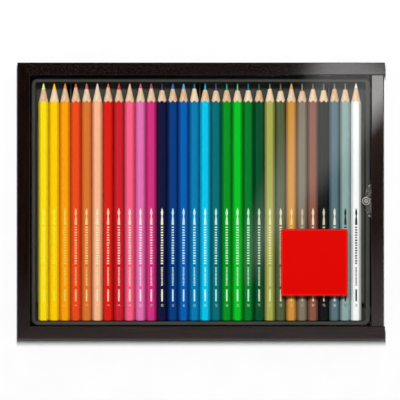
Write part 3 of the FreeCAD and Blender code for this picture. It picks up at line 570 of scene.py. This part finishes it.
def make_stick_mesh(number):
    """One pencil from butt to tip, in lacquer, wood and lead. It lies along Y with its axis at 0."""
    columns = hexagon_columns()
    rows = []
    choose = random.Random(number)
    tone = choose.random()
    blunt = number in NEEDLES
    lead_radius = (SHOULDER_RADIUS if blunt else LEAD_RADIUS) + choose.uniform(-0.25, 0.2) * MM
    needle = NEEDLES[number] * MM if blunt else lead_radius
    shoulder = SHOULDER_LENGTH if blunt else 0.0

    def waver(angle, spread, phase, amount):
        """A smooth wandering round the pencil, which differs from one pencil to the next."""
        place = Vector((math.cos(angle) * spread, math.sin(angle) * spread, number * phase))
        return noise.noise(place) * amount

    def edge(angle, radius):
        """Where the sharpener's cone leaves the lacquer."""
        return PENCIL_LENGTH - (radius - TIP_RADIUS) / TAPER + waver(angle, 3, 7.3, 0.12 * MM)

    def lead_edge(angle):
        """Where the cone leaves the wood."""
        return PENCIL_LENGTH - (lead_radius - TIP_RADIUS) / TAPER + waver(angle, 2, 3.1, 0.35 * MM)

    def add_row(place_of, part):
        """A ring of places, each from its angle and the pencil's radius there, as a radius and a length."""
        rows.append(([place_of(angle, radius) for angle, radius, _, _ in columns], part))

    for along, share in BUTT:
        add_row(lambda angle, radius, a=along, s=share: (radius * s, a * MM), LACQUERED)
    add_row(lambda angle, radius: (radius, BARREL_START), LACQUERED)
    add_row(lambda angle, radius: (radius, edge(angle, radius) - BARREL_END), LACQUERED)
    add_row(lambda angle, radius: (radius, edge(angle, radius)), LACQUERED)
    add_row(lambda angle, radius: (radius - LACQUER, edge(angle, radius) + 0.02 * MM), LACQUERED)
    for step in range(1, WOOD_STEPS + 1):

        def on_wood(angle, radius, share=step / WOOD_STEPS):
            start = edge(angle, radius)
            end = lead_edge(angle)
            outer = radius - LACQUER
            inner = (PENCIL_LENGTH - end) * TAPER + TIP_RADIUS
            return outer + (inner - outer) * share, start + (end - start) * share

        add_row(on_wood, WOOD)
    if blunt:
        add_row(lambda angle, radius: (needle, lead_edge(angle) + shoulder), WOOD)
    for step in (0.35, 0.7, 0.93):

        def on_lead(angle, radius, share=step):
            start = lead_edge(angle) + shoulder
            along = start + (PENCIL_LENGTH - start) * share
            cone = TIP_RADIUS + (PENCIL_LENGTH - along) * TAPER
            return min(cone, needle + (TIP_RADIUS - needle) * share), along

        add_row(on_lead, LEAD)
    for share, short in ((0.75, 0.08 * MM), (0.35, 0.01 * MM)):
        add_row(lambda angle, radius, s=share, d=short: (TIP_RADIUS * s, PENCIL_LENGTH - d), LEAD)

    bm = bmesh.new()
    corner_layer = bm.verts.layers.float.new("corner")
    # This layer holds the painted shade in the grooves between neighbouring pencils.
    groove_shade_layer = bm.verts.layers.float.new("groove")
    tone_layer = bm.verts.layers.float.new("tone")
    made = []
    for places, _ in rows:
        ring = []
        for (radius, along), (angle, _, nearness, groove_shade) in zip(places, columns):
            vertex = bm.verts.new((radius * math.cos(angle), along, radius * math.sin(angle) * HEIGHT_SHARE))
            vertex[corner_layer] = nearness
            vertex[groove_shade_layer] = groove_shade
            vertex[tone_layer] = tone
            ring.append(vertex)
        made.append(ring)
    count = len(columns)
    faces = []
    for (low, high), (_, part) in zip(zip(made, made[1:]), rows[1:]):
        for i in range(count):
            faces.append(((low[i], low[(i + 1) % count], high[(i + 1) % count], high[i]), part))
    for ring, along, part in ((made[0], 0.0, LACQUERED), (made[-1], PENCIL_LENGTH, LEAD)):
        middle = bm.verts.new((0, along, 0))
        for i in range(count):
            faces.append(((ring[i], ring[(i + 1) % count], middle), part))
    for corners, part in faces:
        face = bm.faces.new(corners)
        face.material_index = part
        face.smooth = True
    bmesh.ops.recalc_face_normals(bm, faces=bm.faces)
    return close_mesh(bm, "stick")


def lacquer(number, code):
    """Gloss lacquer, a little thinner and paler where it runs off the six corners, and painted darker down in
    the grooves where neighbours touch: painted shade for the light they block."""
    material, tree, shader = new_material(f"pencil_{number:02d}_lacquer")
    corner = add_node(tree, "ShaderNodeAttribute", attribute_name="corner").outputs["Fac"]
    groove = add_node(tree, "ShaderNodeAttribute", attribute_name="groove").outputs["Fac"]
    drift = add_noise(tree, place_on(tree), Scale=120.0, Detail=2.0)
    wander = add_math(tree, "MULTIPLY", drift, 0.3)
    thin = add_math(tree, "MULTIPLY_ADD", corner, 0.5, wander)
    full = colour(code)
    coat = mix_colours(tree, thin, full, shaded(full, 1.12, 0.003))
    # Painted shade: the colour is darkened towards the grooves where neighbouring pencils block the light.
    groove_shaded = mix_colours(tree, groove, coat, (0.6, 0.6, 0.6, 1.0), blend_type="MULTIPLY")
    tree.links.new(groove_shaded, shader.inputs["Base Color"])
    ripple = add_noise(tree, place_on(tree), Scale=700.0, Detail=1.0)
    add_relief(tree, shader, ripple, 0.05, 0.02 * MM)
    set_inputs(shader, Roughness=0.34, Specular_IOR_Level=0.08, Coat_Weight=0.3, Coat_Roughness=0.16)
    return material


def make_cedar():
    """Sharpened cedar: pinkish brown with fine lines along the pencil and the sharpener's faint rings. Each
    pencil is cut from a paler or a darker board."""
    material, tree, shader = new_material("sharpened_cedar")
    fibres = add_noise(tree, place_on(tree, [1500.0, 130.0, 1500.0]), Scale=1.0, Detail=4.0)
    tone = add_range(tree, fibres, From_Min=0.3, From_Max=0.7)
    grain = mix_colours(tree, tone, colour("#c99a70"), colour("#ecc8a2"))
    board = add_node(tree, "ShaderNodeAttribute", attribute_name="tone").outputs["Fac"]
    paler = add_math(tree, "MULTIPLY", board, 0.75)
    tree.links.new(mix_colours(tree, paler, grain, colour("#f8e2c4")), shader.inputs["Base Color"])
    rings = add_node(tree, "ShaderNodeTexWave", bands_direction="Y", Scale=900.0, Distortion=2.0)
    tree.links.new(place_on(tree), rings.inputs["Vector"])
    add_relief(tree, shader, rings.outputs["Fac"], 0.12, 0.03 * MM)
    set_inputs(shader, Roughness=0.62)
    return material


def pigment(number, code):
    """Waxy coloured lead, slightly mottled where the sharpener has torn it."""
    material, tree, shader = new_material(f"pencil_{number:02d}_pigment")
    mottle = add_noise(tree, place_on(tree), Scale=1800.0, Detail=3.0)
    full = colour(code)
    wax = mix_colours(tree, mottle, shaded(full, 0.8), shaded(full, 1.1, 0.01))
    tree.links.new(wax, shader.inputs["Base Color"])
    add_relief(tree, shader, mottle, 0.3, 0.03 * MM)
    set_inputs(shader, Roughness=0.5)
    return material


cedar = make_cedar()
for number, code in enumerate(PENCIL_COLOURS, start=1):
    node_name = f"pencil_{number:02d}"
    low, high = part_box(node_name)
    coats = [lacquer(number, code), cedar, pigment(number, LEAD_COLOURS.get(number, code))]
    middle = ((low.x + high.x) / 2, low.y, (low.z + high.z) / 2)
    stick = add_object(f"{node_name}_stick", make_stick_mesh(number), coats, middle)
    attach(stick, "drawer")
    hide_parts(node_name)


# Each pencil carries a hot-foil mark on its upper flat. The real lettering is left off: in its place there
# are a plain leaf, a ladder of strokes, a line and the pencil's number in the row.

FOIL_LIFT = 0.012 * MM
WARM_CREAM = "#fff3cc"
COOL_CREAM = "#e6fff2"
DARK_INK = "#2c322b"
# How far each foil stands off its lacquer towards cream, and how far where it isn't given
FOIL_SHARES = {
    1: 0.2, 2: 0.22, 3: 0.3, 4: 0.55, 5: 0.55, 6: 0.45, 12: 0.9, 13: 0.75, 22: 0.5, 24: 0.4, 25: 0.4,
}
FOIL_SHARE = 0.72
FOIL_GLARE = 1.15
COOL_FOIL = range(13, 21)
DARK_FOIL = {29, 30}
# Where the parts of the mark start and end, and where the number stands, in millimetres from the butt
LEAF_ENDS = (83.3, 70.8)
STROKE_ENDS = (69.6, 40.9)
FINE_STROKE_ENDS = (39.6, 25.6)
LINE_ENDS = (23.4, 14.3)
FIGURES = 11.6
FIGURE_HEIGHT = 2.3 * MM
# Half widths in millimetres at shares of the length
LEAF = [
    (0.0, 0.08), (0.1, 0.5), (0.26, 0.9), (0.38, 0.7), (0.45, 0.4), (0.5, 0.45), (0.66, 0.75), (0.95, 0.88),
    (1.0, 0.8),
]
LINE = [(0.0, 0.3), (0.05, 0.58), (0.5, 0.64), (0.95, 0.58), (1.0, 0.3)]


def foil(number, code):
    """Thin hot foil that takes up some of the colour under it, worn to a fine speckle. It is drawn matt and
    pale,
    lifted by a glare factor: partly the foil's own colour, partly a painted reflection of the lamps in the
    metal.
    """
    material, tree, shader = new_material(f"pencil_{number:02d}_foil")
    wear = add_noise(tree, place_on(tree), Scale=2400.0, Detail=3.0)
    share = FOIL_SHARES.get(number, FOIL_SHARE)
    cream = COOL_CREAM if number in COOL_FOIL else WARM_CREAM
    pairs = [(int(code[i:i + 2], 16), int(cream[i:i + 2], 16)) for i in (1, 3, 5)]
    # Painted reflection: the lift by the glare factor brightens the matt foil to stand in for the shine of
    # metal.
    mixed = [min(255, int(FOIL_GLARE * (under + (over - under) * share))) for under, over in pairs]
    full = colour(DARK_INK if number in DARK_FOIL else "#{:02x}{:02x}{:02x}".format(*mixed))
    tree.links.new(mix_colours(tree, wear, shaded(full, 0.82), full), shader.inputs["Base Color"])
    tree.links.new(add_range(tree, wear, To_Min=0.3, To_Max=0.5), shader.inputs["Roughness"])
    return material


def add_patch(bm, corners):
    """A flat patch of foil from its corners in order, given in millimetres across and from the butt."""
    bm.faces.new([bm.verts.new((x * MM, y * MM, 0)) for x, y in corners])


def add_spindle(bm, ends, profile):
    """A patch along the pencil, with its half widths at shares of its length."""
    start, end = ends
    side = [(half, start + (end - start) * share) for share, half in profile]
    add_patch(bm, side + [(-x, y) for x, y in reversed(side)])


def add_strokes(bm, choose, ends, pitch, half, share):
    """A ladder of strokes across the pencil, each a share of the pitch tall."""
    for step in range(int((ends[0] - ends[1]) / pitch)):
        y = ends[0] - step * pitch
        tall = pitch * share * choose.uniform(0.85, 1.1)
        left = half * choose.uniform(0.85, 1.0)
        right = half * choose.uniform(0.75, 1.0)
        add_patch(bm, [(-left, y), (-left, y - tall), (right, y - tall), (right, y)])


def make_foil_mesh(number):
    """The foil mark, drawn along Y from the pencil's butt."""
    choose = random.Random(number)
    bm = bmesh.new()
    add_spindle(bm, LEAF_ENDS, LEAF)
    add_strokes(bm, choose, STROKE_ENDS, 1.9, 0.95, 0.58)
    add_strokes(bm, choose, FINE_STROKE_ENDS, 1.0, 0.7, 0.6)
    add_spindle(bm, LINE_ENDS, LINE)
    return close_mesh(bm, "foil")


def make_number_mesh(number):
    """The pencil's place in the row, in plain figures that read from the right."""
    text = bpy.data.curves.new("figures", "FONT")
    text.body = str(number)
    text.size = FIGURE_HEIGHT
    text.align_x = "CENTER"
    text.align_y = "CENTER"
    text.resolution_u = 2
    carrier = bpy.data.objects.new("figures", text)
    bpy.context.scene.collection.objects.link(carrier)
    bpy.context.view_layer.update()
    mesh = bpy.data.meshes.new_from_object(carrier)
    mesh.materials.clear()
    bpy.data.objects.remove(carrier)
    bpy.data.curves.remove(text)
    return mesh


for number, code in enumerate(PENCIL_COLOURS, start=1):
    node_name = f"pencil_{number:02d}"
    low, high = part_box(node_name)
    middle = (low.x + high.x) / 2
    level = high.z + FOIL_LIFT
    leaf_foil = foil(number, code)
    mark = add_object(f"{node_name}_foil", make_foil_mesh(number), [leaf_foil], (middle, low.y, level))
    place = (middle, low.y + FIGURES * MM, level)
    figures = add_object(f"{node_name}_number", make_number_mesh(number), [leaf_foil], place)
    figures.rotation_euler = (0, 0, -math.pi / 2)
    for piece in (mark, figures):
        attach(piece, "drawer")


# The window is a clear acrylic sheet with a glare-cutting coat, slid into the rails' upper grooves.
# Light falls through it without a shadow of its own.


def make_clear_sheet():
    """Glass for whatever looks at it or through it, and nothing for the light that falls through it."""
    material, tree, shader = new_material("coated_acrylic")
    haze = add_noise(tree, place_on(tree), Scale=300.0, Detail=2.0)
    tree.links.new(mix_colours(tree, haze, colour("#f9fcfb"), colour("#ffffff")), shader.inputs["Base Color"])
    waves = add_noise(tree, place_on(tree), Scale=25.0, Detail=1.0)
    add_relief(tree, shader, waves, 0.1, 0.05 * MM)
    set_inputs(shader, Roughness=0.0, Transmission_Weight=1.0, IOR=1.49)
    path = add_node(tree, "ShaderNodeLightPath")
    through = add_node(tree, "ShaderNodeBsdfTransparent")
    mixed = add_node(tree, "ShaderNodeMixShader")
    looked_at = add_math(tree, "MAXIMUM", path.outputs["Is Camera Ray"], path.outputs["Is Transmission Ray"])
    tree.links.new(looked_at, mixed.inputs["Fac"])
    tree.links.new(through.outputs["BSDF"], mixed.inputs[1])
    tree.links.new(shader.outputs["BSDF"], mixed.inputs[2])
    tree.links.new(mixed.outputs["Shader"], tree.nodes["Material Output"].inputs["Surface"])
    return material


dress("window_pane", make_clear_sheet())


# The label is a square of red self-adhesive paper with softly rounded corners, pressed on the pane. The real
# one's print is left off, so it is plain but for a hairline border.

label_low, label_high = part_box("square_label")
LABEL_CORNER = 1.2 * MM
LABEL_CORNER_STEPS = 6
LABEL_EASE = 0.08 * MM
BORDER_START = 0.9 * MM
BORDER_END = 1.1 * MM


def make_label_mesh():
    """A thin slab with rounded corners and eased edges. The faces between its last rings are the border."""
    bm = bmesh.new()
    half_x = (label_high.x - label_low.x) / 2
    half_y = (label_high.y - label_low.y) / 2
    thick = label_high.z - label_low.z
    outline = []
    for turn, (side_x, side_y) in enumerate(((1, 1), (-1, 1), (-1, -1), (1, -1))):
        for i in range(LABEL_CORNER_STEPS + 1):
            angle = (turn + i / LABEL_CORNER_STEPS) * math.pi / 2
            x = side_x * (half_x - LABEL_CORNER) + math.cos(angle) * LABEL_CORNER
            y = side_y * (half_y - LABEL_CORNER) + math.sin(angle) * LABEL_CORNER
            outline.append((x, y))
    rings = []
    edge = ((0.0, 0.0), (0.0, thick * 0.7), (LABEL_EASE, thick))
    for inset, height in edge + ((BORDER_START, thick), (BORDER_END, thick)):
        shares = (1 - inset / half_x, 1 - inset / half_y)
        rings.append([bm.verts.new((x * shares[0], y * shares[1], height)) for x, y in outline])
    count = len(outline)
    for index, (low, high) in enumerate(zip(rings, rings[1:])):
        for i in range(count):
            face = bm.faces.new((low[i], low[(i + 1) % count], high[(i + 1) % count], high[i]))
            face.material_index = 1 if index == len(edge) else 0
    bm.faces.new(rings[-1])
    bm.faces.new(list(reversed(rings[0])))
    bmesh.ops.recalc_face_normals(bm, faces=bm.faces)
    return close_mesh(bm, "label")


def printed_paper(name, code):
    """Matt paper in one flat colour, with a faint mottle of fibres."""
    material, tree, shader = new_material(name)
    fibre = add_noise(tree, place_on(tree), Scale=1400.0, Detail=4.0)
    full = colour(code)
    tree.links.new(mix_colours(tree, fibre, shaded(full, 0.93), full), shader.inputs["Base Color"])
    add_relief(tree, shader, fibre, 0.15, 0.02 * MM)
    set_inputs(shader, Roughness=0.7, Specular_IOR_Level=0.06)
    return material


papers = [printed_paper("label_red", "#dc0602"), printed_paper("label_keyline", "#e8382f")]
label_place = ((label_low.x + label_high.x) / 2, (label_low.y + label_high.y) / 2, label_low.z)
label = add_object("square_label_paper", make_label_mesh(), papers, label_place)
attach(label, "case")
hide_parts("square_label")


# The box is photographed from straight above on a white table. The main lamp is above and behind, weaker ones
# are at the left, right and front, and a strip light shows as a slanting band in the pane and on the varnish.
# None of this belongs to the object.

PHOTO_PIXEL = 0.737 * MM
PHOTO_SIDE = 400
CAMERA_HEIGHT = 3.5
# How far the camera stands off the object's middle, in pixels of the photo
CAMERA_SHIFT = (-1.15, 0.7)
SENSOR = 36
case_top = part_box("front_rail")[1].z
pane_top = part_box("window_pane")[1].z


def make_floor():
    """The white table."""
    material, tree, shader = new_material("white_table")
    mottle = add_noise(tree, place_on(tree), Scale=40.0, Detail=2.0)
    tree.links.new(add_range(tree, mottle, To_Min=0.86, To_Max=0.9), shader.inputs["Base Color"])
    set_inputs(shader, Roughness=0.9, Specular_IOR_Level=0.0)
    bm = bmesh.new()
    bmesh.ops.create_grid(bm, x_segments=2, y_segments=2, size=4.0)
    table = add_object("table", close_mesh(bm, "table"), [material])
    return table


def light_only(source, name, things, left_out=False):
    """Links a light to some objects alone, or to all but them."""
    group = bpy.data.collections.new(name)
    for thing in things:
        group.objects.link(thing)
    source.light_linking.receiver_collection = group
    if left_out:
        for member in group.collection_objects:
            member.light_linking.link_state = "EXCLUDE"


def soft_light(name, place, size, level):
    """An area lamp aimed at the object's middle, which lights a white surface facing it there to a level."""
    away = Vector(place)
    lamp = bpy.data.lights.new(name, "AREA")
    lamp.shape = "RECTANGLE"
    lamp.size, lamp.size_y = size
    lamp.energy = level * (math.pi * away.length) ** 2
    holder = bpy.data.objects.new(name, lamp)
    holder.location = place
    holder.rotation_euler = away.to_track_quat("Z", "Y").to_euler()
    holder.visible_camera = False
    bpy.context.scene.collection.objects.link(holder)
    return holder


def make_glow(name, strength, mirror_only):
    """Light that fades as the mesh's glow does, seen by all that can see it or in a perfect mirror alone."""
    material, tree, _ = new_material(name + "_glow")
    fade = add_node(tree, "ShaderNodeAttribute", attribute_name="glow")
    emit = add_node(tree, "ShaderNodeEmission")
    tree.links.new(add_math(tree, "MULTIPLY", fade.outputs["Fac"], strength), emit.inputs["Strength"])
    surface = tree.nodes["Material Output"].inputs["Surface"]
    tree.links.new(emit.outputs["Emission"], surface)
    if mirror_only:
        path = add_node(tree, "ShaderNodeLightPath")
        clear = add_node(tree, "ShaderNodeBsdfTransparent")
        shown = add_node(tree, "ShaderNodeMixShader")
        tree.links.new(path.outputs["Is Singular Ray"], shown.inputs["Fac"])
        tree.links.new(clear.outputs["BSDF"], shown.inputs[1])
        tree.links.new(emit.outputs["Emission"], shown.inputs[2])
        tree.links.new(shown.outputs["Shader"], surface)
    return material


def make_strip_light(name, height, strength, corners, feather, receivers=None):
    """A glowing sheet whose mirror image has its corners at the given pixels of the photo, and which fades
    out over a feathered border. One with no receivers shows only in a perfect mirror, which is the pane."""
    camera_above = case_top + CAMERA_HEIGHT - pane_top
    spread = (1 + height / camera_above) * PHOTO_PIXEL
    centre = PHOTO_SIDE / 2
    band = [Vector(((x - centre) * spread, (centre - y) * spread, 0)) for x, y in corners]
    feather *= spread
    bm = bmesh.new()
    glow = bm.verts.layers.float.new("glow")
    rings = []
    for level, shift in ((1.0, -feather), (0.5, 0.0), (0.0, feather)):
        ring = []
        for i, corner in enumerate(band):
            before = (corner - band[i - 1]).normalized()
            after = (band[(i + 1) % 4] - corner).normalized()
            # The corner of the quadrilateral whose sides are all moved out by the same amount
            out_before = Vector((-before.y, before.x, 0))
            out_after = Vector((-after.y, after.x, 0))
            bisector = (out_before + out_after) / (1 + out_before.dot(out_after))
            vertex = bm.verts.new(corner - bisector * shift)
            vertex[glow] = level
            ring.append(vertex)
        rings.append(ring)
    bm.faces.new(rings[0])
    for inner, outer in zip(rings, rings[1:]):
        for i in range(4):
            bm.faces.new((outer[i], outer[(i + 1) % 4], inner[(i + 1) % 4], inner[i]))
    materials = [make_glow(name, strength, mirror_only=not receivers)]
    strip = add_object(name, close_mesh(bm, name), materials, (0, 0, pane_top + height))
    strip.visible_camera = False
    strip.visible_shadow = False
    strip.visible_diffuse = False
    if receivers:
        light_only(strip, name + "_receivers", receivers)


def make_surroundings():
    """A dim even studio, darker overhead in reflections, and plain white for what looks past the table."""
    world = bpy.data.worlds.new("studio")
    bpy.context.scene.world = world
    world.use_nodes = True
    tree = world.node_tree
    parts = add_node(tree, "ShaderNodeSeparateXYZ")
    tree.links.new(add_node(tree, "ShaderNodeTexCoord").outputs["Generated"], parts.inputs["Vector"])
    rise = add_range(tree, parts.outputs["Z"], From_Min=0.1, From_Max=0.85, To_Min=0.25, To_Max=0.01)
    path = add_node(tree, "ShaderNodeLightPath")
    sheen = add_node(tree, "ShaderNodeMix", data_type="FLOAT", A=0.12)
    tree.links.new(path.outputs["Is Glossy Ray"], sheen.inputs["Factor"])
    tree.links.new(rise, sheen.inputs["B"])
    seen = add_math(tree, "MAXIMUM", path.outputs["Is Camera Ray"], path.outputs["Is Transmission Ray"])
    clean = add_math(tree, "MAXIMUM", seen, sheen.outputs["Result"])
    tree.links.new(clean, tree.nodes["Background"].inputs["Strength"])
    set_inputs(tree.nodes["Background"], Color=(1, 1, 1, 1))


table = make_floor()
make_surroundings()
rails = [nodes[name] for name in ("front_rail", "back_rail", "left_rail", "drawer_front")]
BAND = [(246, 238), (248, 266), (405, 81), (328, 30)]
BAND_FEATHER = 11
CARD = [(-60, 330), (-60, 480), (460, 480), (460, 270)]
CARD_FEATHER = 55
make_strip_light("pane_strip", 1.0, 0.85, BAND, BAND_FEATHER)
make_strip_light("wood_strip", 1.02, 5.0, BAND, BAND_FEATHER, rails)
make_strip_light("front_card", 1.04, 0.55, CARD, CARD_FEATHER, rails)
table_light = soft_light("table_light", (0, 0.29, 2.4), (0.05, 0.38), 1.05)
overhead = soft_light("overhead_light", (0, 1.1, 2.4), (1.0, 0.4), 0.86)
key = soft_light("key_light", (-1.5, 1.0, 2.2), (0.6, 0.6), 0.18)
fill = soft_light("fill_light", (1.5, 1.0, 2.2), (0.6, 0.6), 0.03)
front = soft_light("front_light", (0.1, -0.84, 2.2), (1.4, 0.4), 0.06)
for lamp in (table_light, overhead):
    lamp.visible_glossy = False
    lamp.visible_transmission = False
pane = nodes["window_pane"]
light_only(table_light, "table_alone", [table])
light_only(overhead, "overhead_left_out", [table], left_out=True)
light_only(front, "front_left_out", [table, pane], left_out=True)
light_only(key, "key_left_out", [table, pane] + rails, left_out=True)
light_only(fill, "fill_left_out", [table, pane] + rails, left_out=True)

camera_data = bpy.data.cameras.new("photo_camera")
camera_data.sensor_width = SENSOR
camera_data.lens = SENSOR * CAMERA_HEIGHT / (PHOTO_SIDE * PHOTO_PIXEL)
camera = bpy.data.objects.new("photo_camera", camera_data)
camera.location = (CAMERA_SHIFT[0] * PHOTO_PIXEL, CAMERA_SHIFT[1] * PHOTO_PIXEL, case_top + CAMERA_HEIGHT)
bpy.context.scene.collection.objects.link(camera)
bpy.context.scene.camera = camera
bpy.context.scene.view_settings.view_transform = "Standard"
